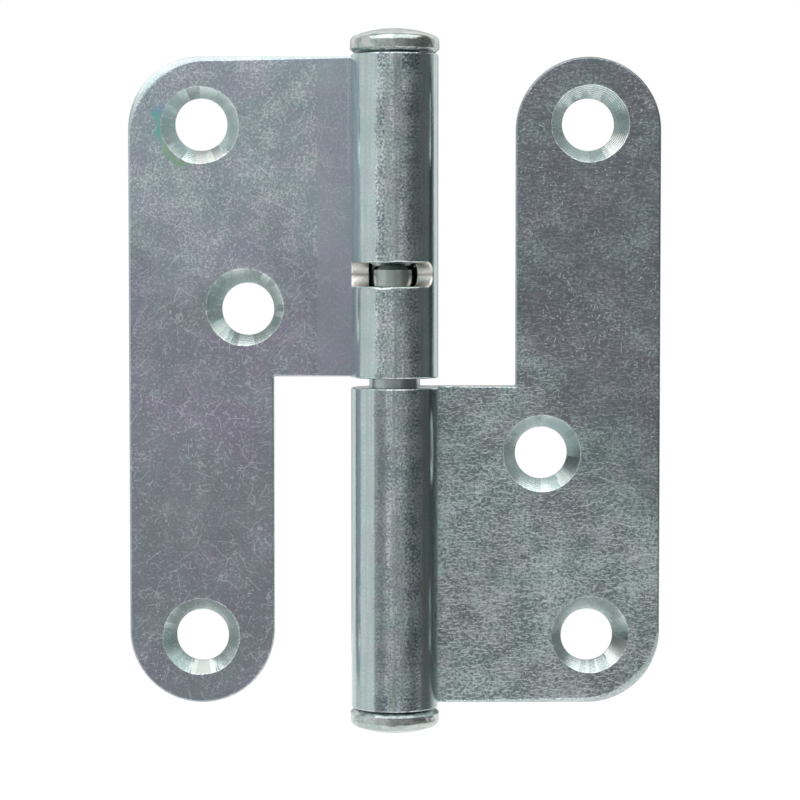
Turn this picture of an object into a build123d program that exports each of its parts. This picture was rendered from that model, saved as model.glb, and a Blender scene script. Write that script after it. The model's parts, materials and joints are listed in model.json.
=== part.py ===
from build123d import *
import os
from math import acos, asin, degrees

# A lift-off door hinge, lying open, seen from the side of its countersinks.
# The pin's axis is Z, and the origin lies on it half-way up the leaves.
# The door leaf spreads towards -X and the frame leaf towards +X, and the faces that
# the screw heads sit in look to -Y. Lengths are millimetres, angles are degrees.

# The two leaves are the same pressed blank, one turned end for end. The press draws
# its front edge down, further across the face than into the sheet.
leaf_height = 110.0
open_width = 90.4
sheet = 3.0
leg_width = 24.6
corner_radius = 12.3
inner_corner_radius = 0.4
leaf_gap = 1.6
drawn_edge_width = 0.8
drawn_edge_depth = 0.4

# Each leaf is rolled at its inner edge, over half of its height, into a knuckle. It
# rolls towards the front and on round past its own leaf, so that the cut edge ends
# close above the leaf's face.
bore_diameter = 8.7
roll_angle = 304.0
rim_chamfer = 0.3

# Screw holes, countersunk from the front.
hole_diameter = 8.9
countersink_diameter = 13.1
countersink_angle = 90.0
end_hole_inset = 11.4
middle_hole_reach = 25.0
middle_hole_inset = 11.5

# The slot in the door leaf's knuckle is punched before the rolling. Its two ends
# are angles round the knuckle, from the front towards +X.
slot_height = 3.9
slot_rise = 15.4
slot_from_angle = -90.0
slot_to_angle = 60.0
slot_chamfer = 0.35

# A plug closes the door leaf's knuckle from above. The long pin comes up through
# the frame leaf's knuckle, and the plug rests on its narrowed nose.
running_gap = 0.05
pin_engagement = 18.85
nose_diameter = 7.4
nose_length = 4.4
nose_taper_length = 2.6
nose_chamfer = 0.7
plug_chamfer = 0.5

# Both pins have the same low domed head.
head_diameter = 15.0
head_height = 4.1
dome_radius = 19.0
head_rim_radius = 1.2
head_seat_chamfer = 0.6
head_gap = 0.25

bore_radius = bore_diameter / 2
knuckle_radius = bore_radius + sheet
half_height = leaf_height / 2
outer_edge = open_width / 2
leg_inner_edge = outer_edge - leg_width
leg_middle = outer_edge - leg_width / 2
flag_edge = leaf_gap / 2
slot_foot = flag_edge + slot_rise
pin_top = flag_edge + pin_engagement
head_seat = half_height + head_gap
upwards = (Align.CENTER, Align.CENTER, Align.MIN)


def flat_outline():
    """The flat of a leaf from the front: a leg with a round foot, and a flag up to the pin."""
    foot_radius = leg_width / 2
    foot = CenterArc((-leg_middle, foot_radius - half_height), foot_radius, 180, 180)
    corner_centre = (corner_radius - outer_edge, half_height - corner_radius)
    corner = CenterArc(corner_centre, corner_radius, 90, 90)
    outline = make_face(
        Wire(
            [
                Line((0, half_height), corner @ 0),
                corner,
                Line(corner @ 1, foot @ 0),
                foot,
                Line(foot @ 1, (-leg_inner_edge, flag_edge)),
                Line((-leg_inner_edge, flag_edge), (0, flag_edge)),
                Line((0, flag_edge), (0, half_height)),
            ]
        )
    )
    inner_corner = outline.vertices().sort_by_distance((-leg_inner_edge, flag_edge))[0]
    return fillet(inner_corner, inner_corner_radius)


def flat():
    """The flat of the leaf, with the edge that the press has drawn down round its front."""
    plate = extrude(Plane.XZ.offset(-knuckle_radius) * flat_outline(), amount=sheet)
    front = plate.faces().sort_by(Axis.Y)[0]
    drawn = front.edges().filter_by(lambda edge: (edge @ 0.5).X < -0.001)
    return chamfer(drawn, drawn_edge_width, length2=drawn_edge_depth, reference=front)


def roll():
    """The rolled part of the leaf, which runs on from the flat and curls round the pin."""
    cut_edge = 90 - roll_angle
    inside = CenterArc((0, 0), bore_radius, cut_edge, roll_angle)
    outside = CenterArc((0, 0), knuckle_radius, cut_edge, roll_angle)
    ends = [Line(inside @ share, outside @ share) for share in (0, 1)]
    section = make_face(Wire([inside, outside, *ends]))
    return Pos(0, 0, flag_edge) * extrude(section, amount=half_height - flag_edge)


def on_knuckle(edge):
    """True for an edge that lies on the knuckle's outside."""
    points = [edge @ share for share in (0, 0.5, 1)]
    return all(abs(Vector(point.X, point.Y).length - knuckle_radius) < 0.001 for point in points)


def on_back(edge):
    """True for an edge that lies on the back of the flat."""
    return all(abs((edge @ share).Y - knuckle_radius) < 0.001 for share in (0, 0.5, 1))


def screw_hole(x, z):
    """The space of one countersunk hole, from the leaf's front face backwards."""
    mouth = Plane(origin=(x, bore_radius, z), x_dir=(1, 0, 0), z_dir=(0, -1, 0))
    return mouth * CounterSinkHole(
        hole_diameter / 2,
        countersink_diameter / 2,
        depth=2 * sheet,
        counter_sink_angle=countersink_angle,
    )


def leaf():
    """A rolled leaf without a slot, where the door leaf lies."""
    pressed = flat() + roll()
    across = pressed.edges().filter_by(Axis.Z, reverse=True)
    rims = across.filter_by(lambda edge: on_knuckle(edge) or on_back(edge))
    pressed = chamfer(rims, rim_chamfer)
    end_hole = half_height - end_hole_inset
    pressed -= screw_hole(-leg_middle, end_hole)
    pressed -= screw_hole(-leg_middle, -end_hole)
    pressed -= screw_hole(-middle_hole_reach, flag_edge + middle_hole_inset)
    return pressed


def slot_space():
    """What the slot takes out: a sector of the knuckle's wall, half-round at both ends."""
    reach = 2 * knuckle_radius
    end_radius = slot_height / 2
    end_angle = degrees(asin(end_radius / (bore_radius + sheet / 2)))
    first = slot_from_angle + end_angle
    last = slot_to_angle - end_angle
    sweep = CenterArc((0, 0), reach, first - 90, last - first)
    sector = make_face(Wire([Line((0, 0), sweep @ 0), sweep, Line(sweep @ 1, (0, 0))]))
    space = extrude(sector, amount=end_radius, both=True)
    for angle in (first, last):
        space += Rot(0, 0, angle) * Rot(90, 0, 0) * Cylinder(end_radius, reach, align=upwards)
    return Pos(0, 0, slot_foot + end_radius) * space


def slotted(rolled_leaf):
    """The leaf with the slot cut through its knuckle, and the slot's outer edge broken."""
    cut = rolled_leaf - slot_space()
    around = cut.edges().filter_by(on_knuckle)
    around = around.filter_by_position(Axis.Z, slot_foot - 0.01, slot_foot + slot_height + 0.01)
    return chamfer(around, slot_chamfer)


def domed_head():
    """A pin's head, with its flat seat at height zero and its dome above."""
    radius = head_diameter / 2
    dome_edge = degrees(acos(radius / dome_radius))
    dome = CenterArc((0, head_height - dome_radius), dome_radius, dome_edge, 90 - dome_edge)
    side = Polyline((0, 0), (radius - head_seat_chamfer, 0), (radius, head_seat_chamfer), dome @ 0)
    outline = make_face(Wire([*side.edges(), dome, Line(dome @ 1, (0, 0))]))
    rim = outline.vertices().sort_by_distance(dome @ 0)[0]
    return revolve(Plane.XZ * fillet(rim, head_rim_radius), Axis.Z)


def plug():
    """The short pin in the door leaf's knuckle, its head up and its flat end on the long pin."""
    shank = Cylinder(bore_radius, head_seat - pin_top, align=upwards)
    shank = chamfer(shank.edges().sort_by(Axis.Z)[0], plug_chamfer)
    return Pos(0, 0, pin_top) * shank + Pos(0, 0, head_seat) * domed_head()


def long_pin():
    """The pin that stands in the frame leaf's knuckle, its head down and its nose up."""
    pin_radius = bore_radius - running_gap
    nose_radius = nose_diameter / 2
    taper_top = pin_top - nose_length
    side = Polyline(
        (0, -head_seat),
        (pin_radius, -head_seat),
        (pin_radius, taper_top - nose_taper_length),
        (nose_radius, taper_top),
        (nose_radius, pin_top - nose_chamfer),
        (nose_radius - nose_chamfer, pin_top),
        (0, pin_top),
        (0, -head_seat),
    )
    shank = revolve(Plane.XZ * make_face(side), Axis.Z)
    return shank + Rot(180, 0, 0) * Pos(0, 0, head_seat) * domed_head()


nodes = {
    "door_leaf": slotted(leaf()),
    "frame_leaf": Rot(0, 180, 0) * leaf(),
    "top_pin": plug(),
    "hinge_pin": long_pin(),
}
os.makedirs("parts", exist_ok=True)
for name, solid in nodes.items():
    export_step(solid, f"parts/{name}.step")
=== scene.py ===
"""Looks of a zinc-plated lift-off hinge: its plated finishes, the studio and the camera."""

import json
import math
import random

import bpy
from mathutils import Matrix, Vector
from mathutils.geometry import delaunay_2d_cdt


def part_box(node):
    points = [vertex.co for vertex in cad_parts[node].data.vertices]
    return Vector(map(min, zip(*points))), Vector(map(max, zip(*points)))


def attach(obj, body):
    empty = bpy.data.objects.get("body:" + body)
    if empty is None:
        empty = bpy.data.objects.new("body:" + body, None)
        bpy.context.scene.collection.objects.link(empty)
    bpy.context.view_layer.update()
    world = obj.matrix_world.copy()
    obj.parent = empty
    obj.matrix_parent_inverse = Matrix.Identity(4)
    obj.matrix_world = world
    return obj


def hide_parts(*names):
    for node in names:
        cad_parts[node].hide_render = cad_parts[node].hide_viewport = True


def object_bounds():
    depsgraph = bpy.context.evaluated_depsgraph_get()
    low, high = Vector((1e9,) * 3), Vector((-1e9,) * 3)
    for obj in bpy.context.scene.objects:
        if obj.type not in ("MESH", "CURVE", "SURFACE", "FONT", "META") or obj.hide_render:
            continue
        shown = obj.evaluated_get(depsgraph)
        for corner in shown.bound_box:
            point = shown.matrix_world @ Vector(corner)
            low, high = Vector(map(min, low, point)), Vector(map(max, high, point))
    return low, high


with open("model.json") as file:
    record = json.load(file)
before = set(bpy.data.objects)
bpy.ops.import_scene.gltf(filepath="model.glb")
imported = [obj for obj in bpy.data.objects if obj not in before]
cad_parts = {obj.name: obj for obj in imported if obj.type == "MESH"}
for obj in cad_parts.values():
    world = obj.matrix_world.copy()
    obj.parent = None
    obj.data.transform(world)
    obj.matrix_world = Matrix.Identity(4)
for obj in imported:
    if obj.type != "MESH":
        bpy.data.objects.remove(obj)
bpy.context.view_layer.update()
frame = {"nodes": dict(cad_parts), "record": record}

# The photograph: 800 pixels a side. The camera is level with the slot in the upper
# knuckle and looks a little down, from straight in front of the pin.
MM = 0.001
PHOTO_HALF_VIEW = 400 / 2800
CAMERA_PLACE = Vector((0.0, -471.65, 20.5)) * MM
CAMERA_AIM = Vector((0.9, 4.35, -3.2)) * MM
SENSOR = 36.0

# The softboxes: their place and size in metres, and how bright a mirror would show them.
SOFTBOXES = {
    "left_softbox": ((-0.763, -0.204, 0.0), (0.894, 1.5), 0.22),
    "top_softbox": ((0.0, -0.45, 0.75), (2.0, 1.2), 1.2),
}

# The hinge hangs above the floor as if screwed to a door frame.
FLOOR_DROP = 120 * MM
FLOOR_SIZE = 1.2
FLOOR_FRONT = -0.25
FLOOR_GREY = 0.8
FLOOR_GLOW = 0.22
FLOOR_GLOW_RISE = 0.27

# The surround that the zinc mirrors. Directions go from -1 to 1, rightward, backward or
# upward. Between two of them something begins. Two numbers more are its brightness before
# and after them.
FRONT_FADE = (-0.5, 0.85, 0.47, 0.15)
PALE_AT_CAMERA = (-0.02, 0.12, 0.05, 0.0)
CARD = ((0.12, 0.2), (0.4, 0.7, 0.11, 0.0))
UPPER_LEFT_RISE = (-0.1, 0.2, 0.0, 0.08)
WALL_BEGINS = (0.2, 0.75)
WALL_FADE = (0.78, 1.0, 0.95, 0.5)
WALL_RISE = (0.0, 0.5, 0.0, 0.2)

# The kinds of face on a leaf, which are its material slots too.
LEAF_FACE = 0
COUNTERSINK = 1
SLOT_WALL = 2

# The leaves, in millimetres and degrees. A leaf's blank is one sheet, described as it lies
# before rolling: along is the distance across the leaf from the pin's axis, up is the
# height, and depth goes from the back of the leaf, 0, to the side of the countersinks.
# Where along is above zero, the sheet is rolled round the pin.
SHEET = 3.0
LEG_WIDTH = 24.6
FLAG_EDGE = 0.8
ROLL_ANGLE = 304.0
RULING_STEP = 4.0
INNER_CORNER_RADIUS = 0.4
CUT_CORNER_RADIUS = 0.35
BACK_ROUNDING = 0.3
BACK_STEPS = 4
CUT_ROUNDING = 0.12

# The press has drawn the front edge down, in full up to the first of two places along and
# not at all past the second. The drawn edge is wider at the leaf's end and round its
# corners, but narrow below the first of two heights and full above the second.
DRAWN_WIDTH = 0.35
END_DRAWN_WIDTH = 0.9
CORNER_DRAWN_WIDTH = 1.5
WIDER_DRAWN_UP = (0.0, 20.0)
DRAWN_DEPTH = 0.45
DRAWN_PROFILE = [(0, 0), (0.01, 0.12), (0.05, 0.24), (0.3, 0.5), (0.6, 0.78), (0.82, 0.94), (1, 1)]
DRAWN_END = (-2.0, -0.3)

# The slot in the door leaf's knuckle. Its angles go round the roll from the leaf's back.
SLOT_ANGLES = (120.0, 270.0)
SLOT_HEIGHT = 3.9
SLOT_RISE = 15.4
SLOT_OUTER_ROUNDING = 0.35
SLOT_STEPS = 5
SLOT_DENTS = {"top": 22.4, "foot": 25.2}
SLOT_DENT_REACH = 1.3
SLOT_DENT_DEPTH = 0.35

# The pins' turned edges are worn round by this much.
WORN_EDGE = 0.33
WORN_EDGE_STEPS = 4

# Each countersink was drilled a little beside its hole, and its rim has a ragged burr.
# First comes its shift, then the angle round it, from +X towards +Z, where its flattest
# facets lie, then how bright it is and how strong its rings and chattered facets are.
COUNTERSINKS = {
    "door_leaf_upper_screw": ((-0.11, -0.15), -68.0, (1.0, 0.17, 1.0)),
    "door_leaf_middle_screw": ((-0.49, 0.30), 215.0, (0.45, 0.17, 1.0)),
    "door_leaf_lower_screw": ((-0.17, -0.08), -88.0, (0.2, 0.13, 0.5)),
    "frame_leaf_upper_screw": ((0.31, 0.12), -42.0, (0.7, 1.0, 0.3)),
    "frame_leaf_middle_screw": ((0.11, -0.05), -30.0, (0.8, 0.35, 0.3)),
    "frame_leaf_lower_screw": ((0.46, 0.21), -36.0, (0.2, 0.2, 0.4)),
}
COUNTERSINK_RADIUS = 6.55
HOLE_STEPS = 96
CONE_STEPS = 6
CHATTER = 0.07
LEAST_CHATTER = 0.5
CHATTER_LOBES = 13
BURR_WIDTH = 0.2
BURR_HEIGHT = 0.025
LEAST_BURR = 0.2
BURR_PROFILE = [(0.3, 1.0), (1.0, 0.0)]
# Each hole draws a number from this range, which gives it marks of its own.
HOLE_NUMBERS = (10, 90)
# The facets tilt about a circle this far inside the rim. The rings are a wave, whose turn
# is in radians to the millimetre.
FACET_TILT_INSET = 1.1
FACET_SLOPE = 0.12
CHATTERED_SLOPE = 0.8
RING_HEIGHT = 0.009
RINGS_TURN = 21.0

# A rounded corner's steps grow with its turn in radians and the root of its radius.
CORNER_STEPS = 9
LEAST_CORNER_STEPS = 4
# Points this near are one, an edge this flat is level, a point this near is on a ruling,
# and rulings keep this clear of a corner. Their places are rounded to so many digits.
SAME_POINT = 1e-4
SAME_LEVEL = 1e-6
ON_RULING = 1e-5
CLEAR_OF_CORNER = 1e-3
RULING_DIGITS = 5
FILLING_ACCURACY = 1e-6
# How strongly large faces rule the shading of the small ones beside them, up to 100.
FLAT_FACES_RULE = 80

# Where marks lie on the blanks, in millimetres along, up and deep. Between the two numbers
# of a pair the mark begins. Two numbers more are its strengths before and after them.
FRONT_BEGINS = (0.6, 2.2)
CALM_BACK = (0.3, 1.8, 0.55, 0.0)
DRAWN_BEGINS = (2.4, 2.6)
DRAWN_ENDS = (2.86, 2.985, 0.7, 0.0)
ROLL_BEGINS = (-1.0, 1.5)
# Where the knuckle faces straight forward, the scuffed strip is painted lighter: a painted
# highlight.
KNUCKLE_FRONT = 23.2
KNUCKLE_HIGHLIGHT_FADE = (0.2, 1.8, 1.0, 0.0)
DOOR_SCUFF = ((17.5, 19.5), (26.1, 26.5, 1.0, 0.0))
FRAME_SCUFF = ((19.3, 19.8), (26.5, 29.0, 1.0, 0.0))
# Painted shade on the frame knuckle: a painted shadow band on its near side, and on its far side
# painted shade for the leaf's dark reflection.
NEAR_SIDE_SHADE = ((19.3, 19.8), (20.8, 22.4, 0.65, 0.0))
FAR_SIDE_SHADE = ((27.2, 28.8), (31.0, 33.5, 0.4, 0.0))
BAND_BEGINS = (-13.25, -13.1)
STREAK_ALONG = -12.1
STREAK_FADE = (0.6, 2.4, 1.0, 0.0)
STREAK_UP = (34.0, 46.0, 0.0, 0.6)
# A light line beside the door knuckle is a painted reflection of the knuckle in the leaf.
REFLECTION_LINE_ALONG = -7.9
REFLECTION_LINE_FADE = (0.05, 0.14, 0.45, 0.0)
REFLECTION_LINE_UP = (34.0, 36.0)
DOOR_TOP = (34.0, 60.0)
DOOR_FOOT_SHADE = (-40.0, 0.0, 0.22, 0.0)
STAINED_HOLE = (-32.9, 43.6, SHEET)
STAIN_RADIUS = 9.1
BROWN_SPOT = (-44.0, 44.0, SHEET)
BROWN_FADE = (1.0, 7.0, 0.45, 0.0)
FRAME_FLAG = (-9.0, 13.0)
FRAME_FOOT = (0.0, 48.0)

# How far from the hinge's middle a pin's head begins, and the shade at the head's seat.
HEAD_BEGINS = (54.5, 55.2)
HEAD_SEAT_SHADE = (55.4, 56.2, 0.7, 0.0)

# The relief of the finishes, in millimetres for one unit of height, and their roughness.
LEAF_RELIEF = 0.018
PIN_RELIEF = 0.22
SLOT_RELIEF = 0.03
LEAF_ROUGHNESS = (0.24, 0.32)
KNUCKLE_ROUGHNESS = 0.15
COUNTERSINK_ROUGHNESS = 0.22
PIN_ROUGHNESS = 0.2
PLATED_SLOT_ROUGHNESS = 0.2
SLOT_ENDS_ROUGHNESS = 0.42

# The range in radians over which scratches turn when they may lie any way.
EVERY_WAY = 6.3


def rounded(corners):
    """The points of an outline whose corners, (along, up, radius), are rounded off."""
    points = []
    for index, (along, up, radius) in enumerate(corners):
        here = Vector((along, up))
        arriving = (here - Vector(corners[index - 1][:2])).normalized()
        leaving = (Vector(corners[(index + 1) % len(corners)][:2]) - here).normalized()
        turn = math.atan2(arriving.cross(leaving), arriving.dot(leaving))
        start = here - arriving * radius * math.tan(abs(turn) / 2)
        to_centre = Vector((-arriving.y, arriving.x)) * math.copysign(radius, turn)
        steps = max(LEAST_CORNER_STEPS, round(abs(turn) * math.sqrt(radius) * CORNER_STEPS))
        for step in range(steps + 1):
            spoke = -to_centre
            spoke.rotate(Matrix.Rotation(turn * step / steps, 2))
            points.append(start + to_centre + spoke)
    return [point for i, point in enumerate(points) if (point - points[i - 1]).length > SAME_POINT]


def with_points_at(places, points):
    """The outline with points added where its level edges pass the places along."""
    filled = []
    for index, point in enumerate(points):
        filled.append(point)
        after = points[(index + 1) % len(points)]
        if abs(point.y - after.y) < SAME_LEVEL:
            low, high = sorted((point.x, after.x))
            low += CLEAR_OF_CORNER
            high -= CLEAR_OF_CORNER
            between = [place for place in places if low < place < high]
            between.sort(reverse=after.x < point.x)
            filled += [Vector((place, point.y)) for place in between]
    return filled


def inward_steps(points):
    """For each point, the step that moves both of its edges by one into the sheet."""
    steps = []
    for index, point in enumerate(points):
        arriving = (point - points[index - 1]).normalized()
        leaving = (points[(index + 1) % len(points)] - point).normalized()
        across = Vector((-arriving.y - leaving.y, arriving.x + leaving.x))
        steps.append(across / (1 + arriving.dot(leaving)))
    return steps


def moved_in(points, distances):
    """The outline's points, each moved by its distance into the sheet."""
    steps = inward_steps(points)
    return [point + step * far for point, step, far in zip(points, steps, distances)]


def quarter(steps):
    """Shares of a rounding's width and depth, from the wall to the face."""
    angles = [math.pi / 2 * step / steps for step in range(steps + 1)]
    return [(1 - math.cos(angle), math.sin(angle)) for angle in angles]


def level_share(value, low, high):
    """How far a value lies from low to high, from 0 to 1."""
    return min(1.0, max(0.0, (value - low) / (high - low)))


class Blank:
    """A leaf's blank as vertices and faces. Each ring has the sheet on its left."""

    def __init__(self):
        self.places = []
        self.from_centres = []
        self.looks = []
        self.faces = []
        self.kinds = []
        self.sharp = []

    def ring(self, points, depths, from_centre=None, look=(0, 0, 0), sharp=False):
        """Adds a closed ring of vertices and returns their numbers."""
        first = len(self.places)
        for point, depth in zip(points, depths):
            self.places.append((point.x, point.y, depth))
            self.from_centres.append(from_centre(point) if from_centre else (0, 0, 0))
            self.looks.append(look)
        numbers = list(range(first, len(self.places)))
        if sharp:
            self.sharp += [{numbers[i - 1], numbers[i]} for i in range(len(numbers))]
        return numbers

    def bands(self, rings, kind):
        """Joins each ring to the next, which is nearer to the countersunk side."""
        for low, high in zip(rings, rings[1:]):
            for i in range(len(low)):
                self.faces.append((low[i - 1], low[i], high[i], high[i - 1]))
                self.kinds.append(kind)

    def side(self, rings, places, to_front):
        """Fills one side of the sheet: the first ring is the outline, the others holes."""
        numbers = [number for ring in rings for number in ring]
        order = {number: index for index, number in enumerate(numbers)}
        points = [Vector(self.places[number][:2]) for number in numbers]
        loops = [[order[number] for number in ring] for ring in rings]
        filled = [loops[0]] + [loop[::-1] for loop in loops[1:]]
        edges = rulings(points, loops, places)
        triangulated = delaunay_2d_cdt(points, edges, filled, 1, FILLING_ACCURACY)
        _, _, triangles, sources, _, owners = triangulated
        for triangle, inside in zip(triangles, owners):
            if set(inside) == {0}:
                face = [numbers[sources[corner][0]] for corner in triangle]
                self.faces.append(tuple(face if to_front else face[::-1]))
                self.kinds.append(LEAF_FACE)

    def rolled_up(self, name, knuckle_radius, facing):
        """The blank's mesh after rolling, with what the materials read at each vertex."""
        corners = []
        for along, up, depth in self.places:
            radius = knuckle_radius - depth
            angle = math.pi / 2 - max(0.0, along) / knuckle_radius
            across = min(0.0, along) + radius * math.cos(angle)
            corners.append(Vector((across * facing, radius * math.sin(angle), up * facing)) * MM)
        mesh = bpy.data.meshes.new(name)
        mesh.from_pydata(corners, [], self.faces)
        mesh.shade_smooth()
        mesh.polygons.foreach_set("material_index", self.kinds)
        for edge in mesh.edges:
            edge.use_edge_sharp = set(edge.vertices) in self.sharp
        vectors = {"sheet_place": self.places, "from_centre": self.from_centres}
        vectors["countersink_look"] = self.looks
        for label, values in vectors.items():
            attribute = mesh.attributes.new(label, "FLOAT_VECTOR", "POINT")
            attribute.data.foreach_set("vector", [part for value in values for part in value])
        return mesh


def rulings(points, loops, places):
    """The edges that run straight up the rolled part, one pair of points after another."""
    edges = []
    spans = [sorted(points[index].x for index in loop) for loop in loops[1:]]
    for place in places:
        found = [i for i, point in enumerate(points) if abs(point.x - place) < ON_RULING]
        found.sort(key=lambda i: points[i].y)
        crosses_slot = any(span[0] < place < span[-1] for span in spans)
        if len(found) > 2 or (len(found) == 2 and not crosses_slot):
            edges += [(found[0], found[1]), (found[-2], found[-1])]
    return list(set(edges))


def add_outline(blank, points):
    """The sheet's outer wall, drawn down at the front and rounded at the back."""
    steps = inward_steps(points)
    drawn = [1 - level_share(point.x, *DRAWN_END) for point in points]
    widths = []
    for point, share, step in zip(points, drawn, steps):
        endwise = min(1.0, abs(step.y))
        slantwise = min(1.0, abs(2 * step.x * step.y))
        wider = level_share(point.y, *WIDER_DRAWN_UP)
        width = DRAWN_WIDTH + (END_DRAWN_WIDTH - DRAWN_WIDTH) * endwise * wider
        width += (CORNER_DRAWN_WIDTH - width) * slantwise * wider
        widths.append(CUT_ROUNDING + (width - CUT_ROUNDING) * share)
    heights = [CUT_ROUNDING + (DRAWN_DEPTH - CUT_ROUNDING) * share for share in drawn]
    rings = []
    for out, rise in reversed(quarter(BACK_STEPS)):
        inset = moved_in(points, [BACK_ROUNDING * out] * len(points))
        rings.append(blank.ring(inset, [BACK_ROUNDING * (1 - rise)] * len(points)))
    for out, rise in DRAWN_PROFILE:
        inset = moved_in(points, [width * out for width in widths])
        depths = [SHEET - height * (1 - rise) for height in heights]
        rings.append(blank.ring(inset, depths))
    blank.bands(rings, LEAF_FACE)
    return rings[0], rings[-1]


def slot_span(knuckle_radius):
    """Where the slot starts and ends along the blank."""
    return [math.radians(angle) * knuckle_radius for angle in SLOT_ANGLES]


def slot_outline(knuckle_radius):
    """The slot on the blank, with half-round ends."""
    first, last = slot_span(knuckle_radius)
    foot = FLAG_EDGE + SLOT_RISE
    top = foot + SLOT_HEIGHT
    end = SLOT_HEIGHT / 2
    return rounded([(first, foot, end), (first, top, end), (last, top, end), (last, foot, end)])


def add_slot(blank, points):
    """The slot's wall, rounded and a little dented at the outside of the knuckle."""
    rings = []
    middle = FLAG_EDGE + SLOT_RISE + SLOT_HEIGHT / 2
    outer = []
    for point in points:
        dent = SLOT_DENTS["top" if point.y > middle else "foot"]
        off = (point.x - dent) / SLOT_DENT_REACH
        outer.append(SLOT_OUTER_ROUNDING + SLOT_DENT_DEPTH * math.exp(-off * off))
    shares = quarter(SLOT_STEPS)
    for out, rise in reversed(shares):
        inset = moved_in(points, [rounding * out for rounding in outer])
        rings.append(blank.ring(inset, [rounding * (1 - rise) for rounding in outer]))
    for out, rise in shares:
        inset = moved_in(points, [CUT_ROUNDING * out] * len(points))
        rings.append(blank.ring(inset, [SHEET - CUT_ROUNDING * (1 - rise)] * len(points)))
    blank.bands(rings, SLOT_WALL)
    return rings[0], rings[-1]


def add_screw_hole(blank, centre, shift, radius, flat_angle, look, seed):
    """One hole with its countersink, whose own centre is shifted and whose cone chattered."""
    chance = random.Random(seed)
    hole_number = chance.randrange(*HOLE_NUMBERS)

    def from_sink(point):
        away = point - sink_centre
        away.rotate(Matrix.Rotation(-flat_angle, 2))
        return (away.x, away.y, hole_number)

    lobes = [chance.uniform(-1, 1) for _ in range(CHATTER_LOBES)]
    facets = look[2]
    chatter = CHATTER * (LEAST_CHATTER + facets)
    sink_centre = centre + shift
    hole, spokes, rims, burrs = [], [], [], []
    for step in range(HOLE_STEPS):
        turn = -2 * math.pi * step / HOLE_STEPS
        hole.append(centre + Vector((math.cos(turn), math.sin(turn))) * radius)
        spokes.append((hole[-1] - sink_centre).normalized())
        lobe, part = divmod(step * CHATTER_LOBES / HOLE_STEPS, 1)
        before, after = lobes[int(lobe)], lobes[(int(lobe) + 1) % CHATTER_LOBES]
        rims.append(COUNTERSINK_RADIUS + chatter * (before + (after - before) * part))
        burrs.append(chance.uniform(LEAST_BURR, 1.0))
    widened = moved_in(hole, [CUT_ROUNDING] * HOLE_STEPS)
    rings = [
        blank.ring(widened, [0.0] * HOLE_STEPS, from_sink, look),
        blank.ring(hole, [CUT_ROUNDING] * HOLE_STEPS, from_sink, look),
    ]
    starts = [(point - sink_centre).length for point in hole]
    for step in range(CONE_STEPS + 1):
        share = step / CONE_STEPS
        reaches = [start + (rim - start) * share for start, rim in zip(starts, rims)]
        points = [sink_centre + spoke * reach for spoke, reach in zip(spokes, reaches)]
        depths = [SHEET + reach - rim for reach, rim in zip(reaches, rims)]
        at_end = step in (0, CONE_STEPS)
        rings.append(blank.ring(points, depths, from_sink, look, sharp=at_end))
    for share, rise in BURR_PROFILE:
        reaches = [rim + BURR_WIDTH * share * burr for rim, burr in zip(rims, burrs)]
        points = [sink_centre + spoke * reach for spoke, reach in zip(spokes, reaches)]
        depths = [SHEET + BURR_HEIGHT * rise * burr for burr in burrs]
        rings.append(blank.ring(points, depths, from_sink, look))
    blank.bands(rings, COUNTERSINK)
    return rings[0], rings[-1]


def add_screw_holes(blank, node_name, turned):
    """All the holes that the record gives the leaf. Returns the ends of their walls."""
    facing = -1 if turned else 1
    walls = []
    for mount in frame["record"]["mounts"]:
        name = mount["name"]
        if mount["kind"] == "bore" and name.startswith(node_name):
            shift, flattest, look = COUNTERSINKS[name]
            shift = Vector(shift) * facing
            flat_angle = math.radians(flattest + 180 * turned)
            centre = Vector((mount["pos_m"][0], mount["pos_m"][2])) / MM * facing
            radius = mount["dims"]["r_mm"]
            walls.append(add_screw_hole(blank, centre, shift, radius, flat_angle, look, seed=name))
    return walls


def pressed_leaf(node_name, body, turned):
    """The sheet of one leaf, rolled. The frame leaf is the door leaf's blank turned over."""
    low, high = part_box("door_leaf")
    knuckle_radius = high.y / MM
    outer_edge = -low.x / MM
    half_height = high.z / MM
    leg_inner_edge = outer_edge - LEG_WIDTH
    cut_edge = math.radians(ROLL_ANGLE) * knuckle_radius

    slot = []
    steps = range(1, round(ROLL_ANGLE / RULING_STEP))
    places = [math.radians(RULING_STEP * step) * knuckle_radius for step in steps]
    if not turned:
        slot = with_points_at(places, slot_outline(knuckle_radius))
        for rounding in (SLOT_OUTER_ROUNDING, CUT_ROUNDING):
            places += [point.x for point in moved_in(slot, [rounding] * len(slot))]
    places = sorted({round(place, RULING_DIGITS) for place in places} | {0.0})

    foot_radius = LEG_WIDTH / 2
    outline = rounded(
        [
            (-outer_edge, -half_height, foot_radius),
            (-leg_inner_edge, -half_height, foot_radius),
            (-leg_inner_edge, FLAG_EDGE, INNER_CORNER_RADIUS),
            (cut_edge, FLAG_EDGE, CUT_CORNER_RADIUS),
            (cut_edge, half_height, CUT_CORNER_RADIUS),
            (-outer_edge, half_height, foot_radius),
        ]
    )
    blank = Blank()
    walls = [add_outline(blank, with_points_at(places, outline))]
    walls += add_screw_holes(blank, node_name, turned)
    if slot:
        walls.append(add_slot(blank, slot))
    blank.side([wall[0] for wall in walls], places, to_front=False)
    blank.side([wall[1] for wall in walls], places, to_front=True)

    mesh = blank.rolled_up("pressed_" + node_name, knuckle_radius, -1 if turned else 1)
    leaf = bpy.data.objects.new(mesh.name, mesh)
    bpy.context.scene.collection.objects.link(leaf)
    normals = leaf.modifiers.new("flat_faces_stay_flat", "WEIGHTED_NORMAL")
    normals.keep_sharp = True
    normals.weight = FLAT_FACES_RULE
    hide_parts(node_name)
    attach(leaf, body)
    return leaf


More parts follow.
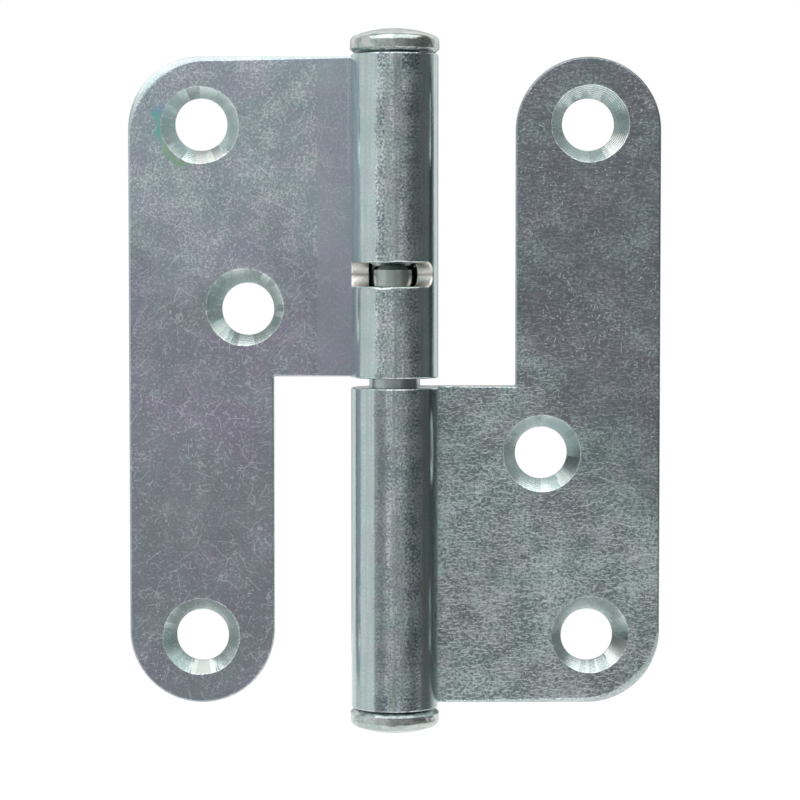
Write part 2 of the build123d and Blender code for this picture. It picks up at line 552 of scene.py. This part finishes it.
def add_camera():
    """The photograph's camera."""
    data = bpy.data.cameras.new("photo_camera")
    data.sensor_width = SENSOR
    data.lens = SENSOR / 2 / PHOTO_HALF_VIEW
    data.clip_start = 0.01
    camera = bpy.data.objects.new("photo_camera", data)
    camera.location = CAMERA_PLACE
    look = CAMERA_AIM - CAMERA_PLACE
    camera.rotation_euler = look.to_track_quat("-Z", "Y").to_euler()
    bpy.context.scene.collection.objects.link(camera)
    bpy.context.scene.camera = camera


def add_softbox(name, place, size, brightness):
    """A softbox that faces the hinge. Its brightness is what a mirror would show of it."""
    width, height = size
    data = bpy.data.lights.new(name, "AREA")
    data.shape = "RECTANGLE"
    data.size = width
    data.size_y = height
    data.energy = brightness * math.pi * width * height
    lamp = bpy.data.objects.new(name, data)
    lamp.location = place
    lamp.rotation_euler = (-Vector(place)).to_track_quat("-Z", "Y").to_euler()
    lamp.visible_camera = False
    bpy.context.scene.collection.objects.link(lamp)


class Nodes:
    """Adds nodes to one tree. An input is given as another node's socket or a plain value."""

    def __init__(self, tree):
        self.tree = tree

    def add(self, kind, inputs=(), **settings):
        """A node with its settings and inputs."""
        made = self.tree.nodes.new("ShaderNode" + kind)
        for name, value in settings.items():
            setattr(made, name, value)
        for name, value in dict(inputs).items():
            if isinstance(value, bpy.types.NodeSocket):
                self.tree.links.new(value, made.inputs[name])
            else:
                made.inputs[name].default_value = value
        return made

    def math(self, operation, first, second=0.0, third=0.0):
        """One sum, product or other reckoning."""
        made = self.add("Math", {0: first, 1: second, 2: third}, operation=operation)
        return made.outputs[0]

    def product(self, first, *others):
        """All the values multiplied."""
        for other in others:
            first = self.math("MULTIPLY", first, other)
        return first

    def most(self, first, *others):
        """The greatest of the values."""
        for other in others:
            first = self.math("MAXIMUM", first, other)
        return first

    def scaled(self, value, by, plus):
        """The value times one number, plus another."""
        return self.math("MULTIPLY_ADD", value, by, plus)

    def rest(self, value):
        """What the value leaves of one."""
        return self.math("SUBTRACT", 1.0, value)

    def off(self, value, centre):
        """How far the value is from the centre."""
        return self.math("ABSOLUTE", self.math("SUBTRACT", value, centre))

    def vector(self, operation, first, second=(0, 0, 0)):
        """One reckoning on vectors, which gives a vector."""
        made = self.add("VectorMath", {0: first, 1: second}, operation=operation)
        return made.outputs[0]

    def length(self, vector):
        """The length of a vector."""
        return self.add("VectorMath", {0: vector}, operation="LENGTH").outputs["Value"]

    def parts(self, vector):
        """The three numbers of a vector."""
        return self.add("SeparateXYZ", {0: vector}).outputs

    def spread(self, value, low, high, start=0.0, end=1.0):
        """The value's way from low to high as a smooth way from start to end."""
        inputs = {"Value": value, "From Min": low, "From Max": high}
        inputs.update({"To Min": start, "To Max": end})
        return self.add("MapRange", inputs, interpolation_type="SMOOTHSTEP").outputs[0]

    def band(self, value, begins, ends):
        """Where the value has begun and not yet ended. Both are given as spread takes them."""
        return self.product(self.spread(value, *begins), self.spread(value, *ends))

    def noise(self, place, size, detail=1.0, sharpness=0.5):
        """Soft blotches about this size in millimetres, from 0 to 1."""
        inputs = {"Vector": place, "Scale": 1 / size, "Detail": detail, "Roughness": sharpness}
        return self.add("TexNoise", inputs).outputs["Fac"]

    def shaken(self, place, size, by):
        """The place, moved about in soft waves of this size by up to half of this length."""
        waves = self.add("TexNoise", {"Vector": place, "Scale": 1 / size, "Detail": 1.0})
        centred = self.vector("SUBTRACT", waves.outputs["Color"], (0.5, 0.5, 0.5))
        return self.vector("ADD", place, self.vector("MULTIPLY", centred, (by, by, by)))

    def between(self, share, first, second):
        """The first value, turned into the second by a share."""
        return self.add("Mix", {0: share, 2: first, 3: second}).outputs[0]

    def tint(self, share, first, second):
        """The first colour, turned into the second by a share."""
        made = self.add("Mix", data_type="RGBA")
        for socket, value in ((0, share), (6, first), (7, second)):
            if isinstance(value, bpy.types.NodeSocket):
                self.tree.links.new(value, made.inputs[socket])
            else:
                made.inputs[socket].default_value = (*value, 1) if socket else value
        return made.outputs[2]


def effect(name, inputs, outputs):
    """An empty shader group with its named inputs and outputs."""
    group = bpy.data.node_groups.new(name, "ShaderNodeTree")
    for label, kind in inputs.items():
        group.interface.new_socket(label, in_out="INPUT", socket_type="NodeSocket" + kind)
    for label in outputs:
        group.interface.new_socket(label, in_out="OUTPUT", socket_type="NodeSocketFloat")
    nodes = Nodes(group)
    given = group.nodes.new("NodeGroupInput").outputs
    wanted = group.nodes.new("NodeGroupOutput").inputs
    return group, nodes, given, wanted


def plating_grain():
    """The skin of the plating: its height, an even mottle, and sparser light specks."""
    outputs = ("Height", "Mottle", "Specks")
    group, nodes, given, wanted = effect("plating_grain", {"Place": "Vector"}, outputs)
    coarse = nodes.noise(given["Place"], 0.75, 2.0)
    fine = nodes.noise(given["Place"], 0.36, 1.0)
    group.links.new(nodes.scaled(coarse, 0.9, fine), wanted["Height"])
    specks = nodes.noise(given["Place"], 0.42, 3.0, 0.8)
    clumps = nodes.noise(given["Place"], 4.0, 2.0)
    uneven = nodes.scaled(clumps, 0.35, specks)
    group.links.new(nodes.spread(uneven, 0.56, 0.80), wanted["Mottle"])
    group.links.new(nodes.spread(uneven, 0.62, 0.92), wanted["Specks"])
    return group


def curled_scratches():
    """Fine curled scratches, which run round soft blotches and break off."""
    group, nodes, given, wanted = effect("curled_scratches", {"Place": "Vector"}, ("Mask",))
    elsewhere = nodes.vector("ADD", given["Place"], (31.0, 17.0, 5.0))
    curls = []
    for size, width, unbroken in ((3.6, 0.016, 0.45), (1.4, 0.022, 0.51)):
        blotches = nodes.noise(given["Place"], size, 2.0)
        thin = nodes.spread(nodes.off(blotches, 0.5), 0.003, width, 1.0, 0.0)
        whole = nodes.spread(nodes.noise(elsewhere, size * 0.6, 1.0), unbroken, unbroken + 0.12)
        curls.append(nodes.product(thin, whole))
    crowded = nodes.spread(nodes.noise(elsewhere, 11.0, 2.0), 0.35, 0.55, 0.45, 1.0)
    group.links.new(nodes.product(nodes.most(*curls), crowded), wanted["Mask"])
    return group


def hair_scratches():
    """Single scratches scattered one to a cell, turned at random within a range."""
    names = ("Cell", "Length", "Width", "Turn", "Share")
    inputs = {"Place": "Vector", **dict.fromkeys(names, "Float")}
    group, nodes, given, wanted = effect("hair_scratches", inputs, ("Mask",))
    scale = nodes.math("DIVIDE", 1.0, given["Cell"])
    shaken = nodes.shaken(given["Place"], 1.8, 0.7)
    cells = nodes.add("TexVoronoi", {"Vector": shaken, "Scale": scale}, voronoi_dimensions="2D")
    away = nodes.parts(nodes.vector("SUBTRACT", shaken, cells.outputs["Position"]))
    chance = nodes.parts(cells.outputs["Color"])
    angle = nodes.product(nodes.math("SUBTRACT", chance[0], 0.5), given["Turn"])
    cosine = nodes.math("COSINE", angle)
    sine = nodes.math("SINE", angle)
    lengthways = nodes.scaled(away[0], cosine, nodes.product(away[1], sine))
    sideways = nodes.math("SUBTRACT", nodes.product(away[1], cosine), nodes.product(away[0], sine))
    off = nodes.math("DIVIDE", nodes.math("ABSOLUTE", sideways), given["Width"])
    thin = nodes.spread(off, 0.3, 1.0, 1.0, 0.0)
    far = nodes.math("DIVIDE", nodes.math("ABSOLUTE", lengthways), given["Length"])
    short = nodes.spread(far, 0.2, 0.5, 1.0, 0.0)
    kept = nodes.math("LESS_THAN", chance[2], given["Share"])
    group.links.new(nodes.product(thin, short, kept), wanted["Mask"])
    return group


def lathe_marks():
    """What a drill leaves on a cone: rings, facets that chatter beats into it, and a burr.

    From centre is turned so that the flattest facets, which shine, lie towards its X.
    """
    outputs = ("Height", "Facets", "Shine", "Burr")
    inputs = {"From centre": "Vector", "Rings": "Float", "Facets": "Float"}
    group, nodes, given, wanted = effect("lathe_marks", inputs, outputs)
    hole = nodes.vector("MULTIPLY", given["From centre"], (0.0, 0.0, 1.0))
    away = nodes.vector("SUBTRACT", given["From centre"], hole)
    radius = nodes.length(away)
    direction = nodes.vector("NORMALIZE", away)
    around = nodes.vector("ADD", direction, hole)
    cells = nodes.add("TexVoronoi", {"Vector": around, "Scale": 3.2})
    chance = nodes.parts(cells.outputs["Color"])
    group.links.new(chance[0], wanted["Facets"])
    towards = nodes.scaled(chance[1], 0.09, nodes.parts(direction)[0])
    shine = nodes.spread(towards, 0.94, 0.965)
    group.links.new(shine, wanted["Shine"])

    chattered = nodes.product(nodes.math("SUBTRACT", chance[0], 0.5), given["Facets"])
    flat = nodes.scaled(chattered, CHATTERED_SLOPE, shine)
    inwards = nodes.math("SUBTRACT", COUNTERSINK_RADIUS - FACET_TILT_INSET, radius)
    flattened = nodes.product(inwards, flat, FACET_SLOPE)
    uneven = nodes.noise(around, 0.5, 3.0)
    turns = nodes.scaled(radius, RINGS_TURN, nodes.product(uneven, 12.0))
    patches = nodes.noise(given["From centre"], 3.0, 2.0)
    depth = nodes.spread(patches, 0.42, 0.62, 0.0, RING_HEIGHT)
    depth = nodes.product(depth, given["Rings"])
    rings = nodes.scaled(nodes.math("SINE", turns), depth, flattened)
    group.links.new(rings, wanted["Height"])
    ragged = nodes.scaled(nodes.noise(around, 0.12, 2.0), 0.3, radius)
    burr = nodes.spread(ragged, COUNTERSINK_RADIUS - 0.02, COUNTERSINK_RADIUS + 0.1)
    group.links.new(burr, wanted["Burr"])
    return group


class Finish:
    """One plated finish under construction: a metal shader, its colour and its relief."""

    def __init__(self, name, effects):
        self.material = bpy.data.materials.new(name)
        self.material.use_nodes = True
        tree = self.material.node_tree
        self.nodes = Nodes(tree)
        self.effects = effects
        self.shader = tree.nodes["Principled BSDF"]
        self.shader.inputs["Metallic"].default_value = 1.0

    def at_vertex(self, name):
        """What the mesh says at each vertex under this name."""
        return self.nodes.add("Attribute", attribute_name=name).outputs["Vector"]

    def sheet_place(self):
        """The place on the sheet before rolling, in millimetres."""
        return self.at_vertex("sheet_place")

    def solid_place(self):
        """The place in the hinge, in millimetres."""
        place = self.nodes.add("TexCoord").outputs["Object"]
        return self.nodes.vector("MULTIPLY", place, (1 / MM, 1 / MM, 1 / MM))

    def use(self, effect_name, **inputs):
        """Places a shared effect and returns its outputs."""
        made = self.nodes.add("Group")
        made.node_tree = self.effects[effect_name]
        for name, value in inputs.items():
            socket = made.inputs[name.replace("_", " ").capitalize()]
            if isinstance(value, bpy.types.NodeSocket):
                self.nodes.tree.links.new(value, socket)
            else:
                socket.default_value = value
        return made.outputs

    def scratched(self, place, cell, length, width, turn, share):
        """Where single scratches lie: cells, lengths and widths are in millimetres."""
        sizes = {"cell": cell, "length": length, "width": width}
        return self.use("hair_scratches", place=place, turn=turn, share=share, **sizes)["Mask"]

    def done(self, colour, roughness, height, relief):
        """Connects the surface. Relief is how many millimetres one unit of height is."""
        inputs = {"Height": height, "Distance": relief * MM, "Strength": 1.0}
        bump = self.nodes.add("Bump", inputs)
        links = self.nodes.tree.links
        links.new(bump.outputs[0], self.shader.inputs["Normal"])
        links.new(colour, self.shader.inputs["Base Color"])
        if isinstance(roughness, bpy.types.NodeSocket):
            links.new(roughness, self.shader.inputs["Roughness"])
        else:
            self.shader.inputs["Roughness"].default_value = roughness
        return self.material


def rolled_skin(finish, place, grain, scuff):
    """The greener skin of the knuckle, scuffed along its front between two wavy edges, with a
    painted highlight where the knuckle faces straight forward.

    Gives where the leaf is rolled, the colour there, and where it is rolled and smooth.
    """
    nodes = finish.nodes
    along = nodes.parts(place)[0]
    rolled = nodes.spread(along, *ROLL_BEGINS)
    upright = nodes.vector("MULTIPLY", place, (0.15, 1.0, 0.0))
    wavy = nodes.scaled(nodes.noise(upright, 4.5, 2.0), 2.4, along)
    wavy = nodes.math("SUBTRACT", wavy, 1.2)
    scuffed = nodes.band(wavy, *scuff)
    mottle = nodes.between(nodes.scaled(scuffed, 0.75, 0.25), 0.5, grain["Mottle"])
    # Painted highlight: the scuffed strip's dark colour turns lighter towards the knuckle's front.
    painted_front_highlight = nodes.spread(nodes.off(along, KNUCKLE_FRONT), *KNUCKLE_HIGHLIGHT_FADE)
    scuffed_dark_and_highlight = nodes.tint(painted_front_highlight, (0.17, 0.23, 0.27), (0.37, 0.43, 0.47))
    dark = nodes.tint(scuffed, (0.33, 0.42, 0.43), scuffed_dark_and_highlight)
    light = nodes.tint(scuffed, (0.75, 0.86, 0.85), (0.90, 0.98, 1.0))
    streaks = nodes.vector("MULTIPLY", place, (1.0, 0.035, 0.0))
    shade = nodes.spread(nodes.noise(streaks, 0.8, 3.0), 0.4, 0.6, 0.0, 0.55)
    colour = nodes.tint(shade, nodes.tint(mottle, dark, light), (0.44, 0.52, 0.47))
    return rolled, colour, nodes.product(rolled, nodes.rest(scuffed))


def bright_nicks(finish, place):
    """Tiny bright nicks, turned every way and strewn in patches."""
    nodes = finish.nodes
    small = finish.scratched(place, 0.9, 0.5, 0.1, EVERY_WAY, 0.4)
    long = finish.scratched(place, 1.9, 1.3, 0.08, EVERY_WAY, 0.4)
    patchy = nodes.spread(nodes.noise(place, 7.0, 2.0), 0.36, 0.6, 0.25, 0.8)
    return nodes.product(nodes.most(small, long), patchy)


def tinted_clouds(nodes, place, colour):
    """The colour, turned a little teal in some soft clouds and a little purple in others."""
    teal = nodes.vector("MULTIPLY", colour, (0.95, 1.01, 1.005))
    purple = nodes.vector("MULTIPLY", colour, (1.02, 0.985, 1.03))
    return nodes.tint(nodes.spread(nodes.noise(place, 6.0, 3.0), 0.42, 0.6), teal, purple)


def leaf_done(finish, place, colour, scratches, grain, knuckle):
    """Finishes a leaf with what both share: a calm back, the drawn edge and the knuckle."""
    nodes = finish.nodes
    rolled, knuckle_colour, smooth = knuckle
    depth = nodes.parts(place)[2]
    colour = nodes.tint(nodes.spread(depth, *CALM_BACK), colour, (0.40, 0.45, 0.46))
    drawn = nodes.band(depth, DRAWN_BEGINS, DRAWN_ENDS)
    colour = nodes.tint(drawn, colour, (0.50, 0.57, 0.54))
    colour = tinted_clouds(nodes, place, nodes.tint(rolled, colour, knuckle_colour))

    unrolled_scratches = nodes.product(scratches, nodes.rest(rolled))
    height = nodes.scaled(unrolled_scratches, -0.5, grain["Height"])
    calm = nodes.most(smooth, drawn)
    height = nodes.product(height, nodes.scaled(calm, -0.65, 1.0))
    patches = nodes.noise(place, 9.0, 3.0)
    flat_roughness = nodes.spread(patches, 0.35, 0.65, *LEAF_ROUGHNESS)
    roughness = nodes.between(rolled, flat_roughness, KNUCKLE_ROUGHNESS)
    return finish.done(colour, roughness, height, LEAF_RELIEF)


def rainbow_stain(nodes, place, centre):
    """The film beside a countersink: blue above, teal on the left and green below."""
    away = nodes.vector("SUBTRACT", place, centre)
    left, above, _ = nodes.parts(nodes.vector("NORMALIZE", away))
    ragged = nodes.scaled(nodes.noise(place, 2.2, 3.0), 3.6, nodes.length(away))
    ring = nodes.spread(nodes.off(ragged, STAIN_RADIUS), 0.3, 1.0, 1.0, 0.0)
    facing = nodes.scaled(above, -0.42, nodes.product(left, -0.91))
    mask = nodes.product(ring, nodes.spread(facing, 0.55, 0.8, 0.0, 0.85))
    teal = nodes.tint(nodes.spread(above, 0.1, 0.45), (0.26, 0.65, 0.58), (0.34, 0.55, 0.84))
    return mask, nodes.tint(nodes.spread(above, -0.55, -0.25), (0.42, 0.62, 0.44), teal)


def door_leaf_zinc(effects):
    """Bluish zinc with purple clouds, curled scratches, a rainbow stain by one hole and a painted
    reflection of the knuckle beside it.
    """
    finish = Finish("door_leaf_zinc", effects)
    nodes = finish.nodes
    place = finish.sheet_place()
    along, up, depth = nodes.parts(place)
    grain = finish.use("plating_grain", place=place)
    on_front = nodes.spread(depth, *FRONT_BEGINS)
    by_the_roll = nodes.product(nodes.spread(along, *BAND_BEGINS), on_front)
    wandering = nodes.scaled(nodes.noise(place, 12.0, 3.0), 50.0, up)
    on_top = nodes.spread(wandering, *DOOR_TOP)

    calm = nodes.scaled(by_the_roll, 0.3, nodes.scaled(on_top, -0.5, 0.5))
    mottle = nodes.between(nodes.math("MINIMUM", calm, 0.7), grain["Specks"], 0.2)
    clouds = nodes.spread(nodes.noise(place, 13.0, 3.0), 0.44, 0.56)
    dark = nodes.tint(clouds, (0.325, 0.35, 0.40), (0.34, 0.34, 0.405))
    light = nodes.tint(clouds, (0.78, 0.81, 0.88), (0.80, 0.80, 0.91))
    dark = nodes.tint(on_top, dark, (0.435, 0.505, 0.56))
    light = nodes.tint(on_top, light, (0.92, 1.0, 1.0))
    colour = nodes.tint(mottle, dark, light)
    colour = nodes.tint(nodes.product(by_the_roll, 0.45), colour, (0.50, 0.525, 0.60))
    colour = nodes.tint(nodes.spread(up, *DOOR_FOOT_SHADE), colour, (0.22, 0.26, 0.27))

    streak_off = nodes.scaled(nodes.noise(place, 3.0, 2.0), 3.0, along)
    streak = nodes.spread(nodes.off(streak_off, STREAK_ALONG), *STREAK_FADE)
    streak = nodes.product(streak, nodes.spread(up, *STREAK_UP), on_front)
    streak = nodes.product(streak, nodes.rest(by_the_roll), mottle)
    colour = nodes.tint(streak, colour, (0.86, 0.80, 0.83))

    curls = nodes.product(finish.use("curled_scratches", place=place)["Mask"], 0.75)
    hairs = finish.scratched(place, 3.6, 4.0, 0.07, EVERY_WAY, 0.6)
    scratches = nodes.most(curls, hairs)
    scratches = nodes.product(scratches, nodes.scaled(on_top, 0.15, 0.65))
    scratches = nodes.most(scratches, bright_nicks(finish, place))
    scratches = nodes.product(scratches, nodes.scaled(by_the_roll, -0.6, 1.0))
    colour = nodes.tint(scratches, colour, (0.86, 0.91, 0.97))

    stained, film = rainbow_stain(nodes, place, STAINED_HOLE)
    colour = nodes.tint(nodes.product(stained, on_front), colour, film)
    # Painted reflection: a light blue line on the leaf just beside the knuckle.
    painted_reflection_line = nodes.spread(nodes.off(along, REFLECTION_LINE_ALONG), *REFLECTION_LINE_FADE)
    painted_reflection_line = nodes.product(painted_reflection_line, nodes.spread(up, *REFLECTION_LINE_UP), on_front)
    colour = nodes.tint(painted_reflection_line, colour, (0.72, 0.84, 0.92))
    knuckle = rolled_skin(finish, place, grain, DOOR_SCUFF)
    return leaf_done(finish, place, colour, scratches, grain, knuckle)


def frame_leaf_zinc(effects):
    """Grey zinc with the short level dashes that the rolling mill left, lighter on the flag."""
    finish = Finish("frame_leaf_zinc", effects)
    nodes = finish.nodes
    place = finish.sheet_place()
    along, up, _ = nodes.parts(place)
    grain = finish.use("plating_grain", place=place)
    downwards = nodes.scaled(up, 0.6, nodes.product(along, 0.5))
    wandering = nodes.scaled(nodes.noise(place, 9.0, 3.0), 24.0, downwards)
    on_flag = nodes.spread(wandering, *FRAME_FLAG)
    at_foot = nodes.spread(up, *FRAME_FOOT)

    stretched = nodes.vector("MULTIPLY", nodes.shaken(place, 2.5, 0.5), (0.82, 1.0, 1.0))
    stretched_grain = finish.use("plating_grain", place=stretched)
    evenly = nodes.product(on_flag, nodes.scaled(at_foot, 0.3, 0.42))
    mottle = nodes.between(evenly, stretched_grain["Specks"], stretched_grain["Mottle"])
    clouds = nodes.spread(nodes.noise(place, 13.0, 3.0), 0.42, 0.58)
    dark = nodes.tint(on_flag, (0.235, 0.26, 0.285), (0.24, 0.31, 0.305))
    light = nodes.tint(on_flag, (0.58, 0.65, 0.68), (0.80, 0.94, 0.93))
    light = nodes.tint(at_foot, light, (0.88, 1.0, 0.99))
    colour = nodes.tint(mottle, dark, light)
    colour = nodes.tint(nodes.product(clouds, 0.3), colour, (0.30, 0.30, 0.325))

    short = finish.scratched(place, 0.8, 1.1, 0.08, 0.6, 0.7)
    long = finish.scratched(place, 1.7, 2.6, 0.09, 0.4, 0.7)
    curls = nodes.product(finish.use("curled_scratches", place=place)["Mask"], 0.5)
    scratches = nodes.most(short, long, curls)
    scratches = nodes.product(scratches, nodes.scaled(on_flag, 0.6, 0.25))
    scratches = nodes.most(scratches, bright_nicks(finish, place))
    colour = nodes.tint(scratches, colour, (0.92, 1.0, 0.99))

    brown_away = nodes.length(nodes.vector("SUBTRACT", place, BROWN_SPOT))
    brown = nodes.product(nodes.spread(brown_away, *BROWN_FADE), mottle)
    colour = nodes.tint(brown, colour, (0.52, 0.42, 0.32))
    rolled, knuckle_colour, smooth = rolled_skin(finish, place, grain, FRAME_SCUFF)
    # Painted shade: a shadow band on the knuckle's near side and, on its far side, the dark
    # reflection of the leaf.
    near_side_painted_shade = nodes.band(along, *NEAR_SIDE_SHADE)
    far_side_painted_shade = nodes.band(along, *FAR_SIDE_SHADE)
    painted_knuckle_shade = nodes.most(near_side_painted_shade, far_side_painted_shade)
    knuckle_colour = nodes.tint(painted_knuckle_shade, knuckle_colour, (0.17, 0.20, 0.21))
    knuckle = (rolled, knuckle_colour, smooth)
    return leaf_done(finish, place, colour, scratches, grain, knuckle)


def countersink_zinc(effects):
    """The cones that the screw heads sit in, with the drill's marks and a bright burr."""
    finish = Finish("countersink_zinc", effects)
    nodes = finish.nodes
    from_centre = finish.at_vertex("from_centre")
    bright, rings, facets = nodes.parts(finish.at_vertex("countersink_look"))
    marks = finish.use("lathe_marks", from_centre=from_centre, rings=rings, facets=facets)
    grain = finish.use("plating_grain", place=finish.sheet_place())
    dull_zinc = nodes.tint(marks["Facets"], (0.37, 0.43, 0.43), (0.52, 0.59, 0.58))
    bright_zinc = nodes.tint(marks["Facets"], (0.56, 0.67, 0.67), (0.78, 0.89, 0.89))
    colour = nodes.tint(bright, dull_zinc, bright_zinc)
    colour = nodes.tint(nodes.product(grain["Mottle"], 0.4), colour, (0.80, 0.90, 0.88))
    shine = nodes.tint(marks["Facets"], (0.43, 0.47, 0.45), (0.58, 0.62, 0.60))
    colour = nodes.tint(marks["Shine"], colour, shine)
    burr = nodes.product(marks["Burr"], grain["Mottle"])
    colour = nodes.tint(burr, colour, (0.88, 0.98, 0.95))
    height = nodes.scaled(grain["Height"], 0.006, marks["Height"])
    return finish.done(colour, COUNTERSINK_ROUGHNESS, height, 1.0)


def pin_zinc(effects):
    """The pins: greener zinc, a little wavy from the heading, with fine specks, a shank painted
    darker and painted shade at the head's seat.
    """
    finish = Finish("pin_zinc", effects)
    nodes = finish.nodes
    place = finish.solid_place()
    grain = finish.use("plating_grain", place=place)
    from_middle = nodes.math("ABSOLUTE", nodes.parts(place)[2])
    on_head = nodes.spread(from_middle, *HEAD_BEGINS)
    clouds = nodes.spread(nodes.noise(place, 2.2, 3.0), 0.42, 0.6)
    # Painted shade: the shank, which lies inside the knuckle, is coloured darker than the head.
    shank_painted_darker = nodes.tint(clouds, (0.37, 0.43, 0.41), (0.43, 0.49, 0.46))
    head = nodes.tint(clouds, (0.38, 0.45, 0.43), (0.56, 0.60, 0.57))
    # Painted shade: the head is darker just above its seat.
    painted_seat_shade = nodes.spread(from_middle, *HEAD_SEAT_SHADE)
    head = nodes.tint(painted_seat_shade, head, (0.24, 0.29, 0.28))
    mottle = nodes.product(grain["Mottle"], nodes.scaled(on_head, 0.25, 0.1))
    colour = nodes.tint(mottle, nodes.tint(on_head, shank_painted_darker, head), (0.74, 0.80, 0.77))
    waves = nodes.scaled(grain["Height"], 0.05, nodes.noise(place, 2.0, 1.5))
    height = nodes.product(waves, nodes.scaled(on_head, 0.95, 0.05))
    return finish.done(colour, PIN_ROUGHNESS, height, PIN_RELIEF)


def slot_wall_zinc(effects):
    """The punched wall of the slot: plated, with a painted cream reflection of a softbox at its
    two ends and a painted dark line along their middle.
    """
    finish = Finish("slot_wall_zinc", effects)
    nodes = finish.nodes
    place = finish.sheet_place()
    along, up, _ = nodes.parts(place)
    first, last = slot_span(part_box("door_leaf")[1].y / MM)
    end = SLOT_HEIGHT / 2
    # Painted reflection: the slot's two ends are coloured a bright cream, as a softbox shows in
    # them.
    at_first = nodes.spread(along, first + end - 0.6, first + end - 0.1, 1.0, 0.0)
    at_last = nodes.spread(along, last - end + 0.1, last - end + 0.6)
    painted_glare_ends = nodes.most(at_first, at_last)
    # A painted dark line runs along the middle of the bright ends, as part of the painted
    # reflection.
    off_middle = nodes.off(up, FLAG_EDGE + SLOT_RISE + end)
    middle = nodes.product(nodes.spread(off_middle, 0.05, 0.4, 0.65, 0.0), painted_glare_ends)
    grain = finish.use("plating_grain", place=place)
    painted_cream_glare = nodes.tint(grain["Mottle"], (0.84, 0.79, 0.75), (1.0, 0.97, 0.93))
    painted_cream_glare = nodes.tint(middle, painted_cream_glare, (0.38, 0.34, 0.33))
    plated = nodes.tint(grain["Mottle"], (0.38, 0.45, 0.43), (0.66, 0.74, 0.71))
    colour = nodes.tint(painted_glare_ends, plated, painted_cream_glare)
    roughness = nodes.between(painted_glare_ends, PLATED_SLOT_ROUGHNESS, SLOT_ENDS_ROUGHNESS)
    return finish.done(colour, roughness, grain["Height"], SLOT_RELIEF)


def add_world():
    """A white surround behind the hinge, and a dim one in front, darker on the right."""
    world = bpy.data.worlds.new("white_studio")
    bpy.context.scene.world = world
    world.use_nodes = True
    world.node_tree.nodes.clear()
    nodes = Nodes(world.node_tree)
    paths = nodes.add("LightPath").outputs
    rightward, backward, upward = nodes.parts(nodes.add("TexCoord").outputs["Generated"])
    fade = dict(zip(("From Min", "From Max", "To Min", "To Max"), FRONT_FADE))
    front = nodes.add("MapRange", {"Value": rightward, **fade}).outputs[0]
    front = nodes.math("ADD", front, nodes.spread(rightward, *PALE_AT_CAMERA))
    front = nodes.math("ADD", front, nodes.band(rightward, *CARD))
    upper_left = nodes.math("SUBTRACT", upward, rightward)
    front = nodes.math("ADD", front, nodes.spread(upper_left, *UPPER_LEFT_RISE))
    rise = nodes.spread(upward, *WALL_RISE)
    wall = nodes.math("ADD", nodes.spread(backward, *WALL_FADE), rise)
    level = nodes.between(nodes.spread(backward, *WALL_BEGINS), front, wall)
    shown = nodes.most(paths["Is Camera Ray"], paths["Is Transmission Ray"], level)
    light = nodes.add("Background", {"Color": shown, "Strength": 1.0})
    nodes.add("OutputWorld", {"Surface": light.outputs[0]})


def add_floor():
    """A plain white floor under the hinge, which keeps its shadow."""
    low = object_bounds()[0][2] - FLOOR_DROP
    half = FLOOR_SIZE / 2
    back = FLOOR_FRONT + FLOOR_SIZE
    ends = ((-half, FLOOR_FRONT), (half, FLOOR_FRONT), (half, back), (-half, back))
    corners = [(*end, low) for end in ends]
    mesh = bpy.data.meshes.new("floor")
    mesh.from_pydata(corners, [], [(0, 1, 2, 3)])
    floor = bpy.data.objects.new("floor", mesh)
    bpy.context.scene.collection.objects.link(floor)
    material = bpy.data.materials.new("white_floor")
    material.use_nodes = True
    material.node_tree.nodes.clear()
    nodes = Nodes(material.node_tree)
    paths = nodes.add("LightPath").outputs
    seen = nodes.most(paths["Is Camera Ray"], paths["Is Glossy Ray"], paths["Is Transmission Ray"])
    backward = nodes.parts(nodes.add("TexCoord").outputs["Object"])[1]
    strength = nodes.scaled(backward, FLOOR_GLOW_RISE, FLOOR_GLOW)
    glow = nodes.add("Emission", {"Strength": nodes.product(seen, strength)})
    matt = nodes.add("BsdfDiffuse", {"Color": (FLOOR_GREY, FLOOR_GREY, FLOOR_GREY, 1)})
    both = nodes.add("AddShader", {0: matt.outputs[0], 1: glow.outputs[0]})
    nodes.add("OutputMaterial", {"Surface": both.outputs[0]})
    mesh.materials.append(material)


def wear_edges(pin):
    """Rounds the sharp edges of a turned pin."""
    bevel = pin.modifiers.new("worn_edges", "BEVEL")
    bevel.width = WORN_EDGE * MM
    bevel.segments = WORN_EDGE_STEPS
    bevel.limit_method = "ANGLE"
    bevel.harden_normals = True


add_camera()
for name, (place, size, brightness) in SOFTBOXES.items():
    add_softbox(name, place, size, brightness)
add_world()
add_floor()
effects = {
    "plating_grain": plating_grain(),
    "curled_scratches": curled_scratches(),
    "hair_scratches": hair_scratches(),
    "lathe_marks": lathe_marks(),
}
countersinks = countersink_zinc(effects)
slot_walls = slot_wall_zinc(effects)
pins = pin_zinc(effects)
for node_name in ("top_pin", "hinge_pin"):
    pin = frame["nodes"][node_name]
    pin.data.materials.clear()
    pin.data.materials.append(pins)
    wear_edges(pin)
door_leaf = pressed_leaf("door_leaf", "door_side", turned=False)
frame_leaf = pressed_leaf("frame_leaf", "frame_side", turned=True)
for leaf, zinc in ((door_leaf, door_leaf_zinc(effects)), (frame_leaf, frame_leaf_zinc(effects))):
    for material in (zinc, countersinks, slot_walls):
        leaf.data.materials.append(material)
bpy.context.scene.view_settings.view_transform = "Standard"
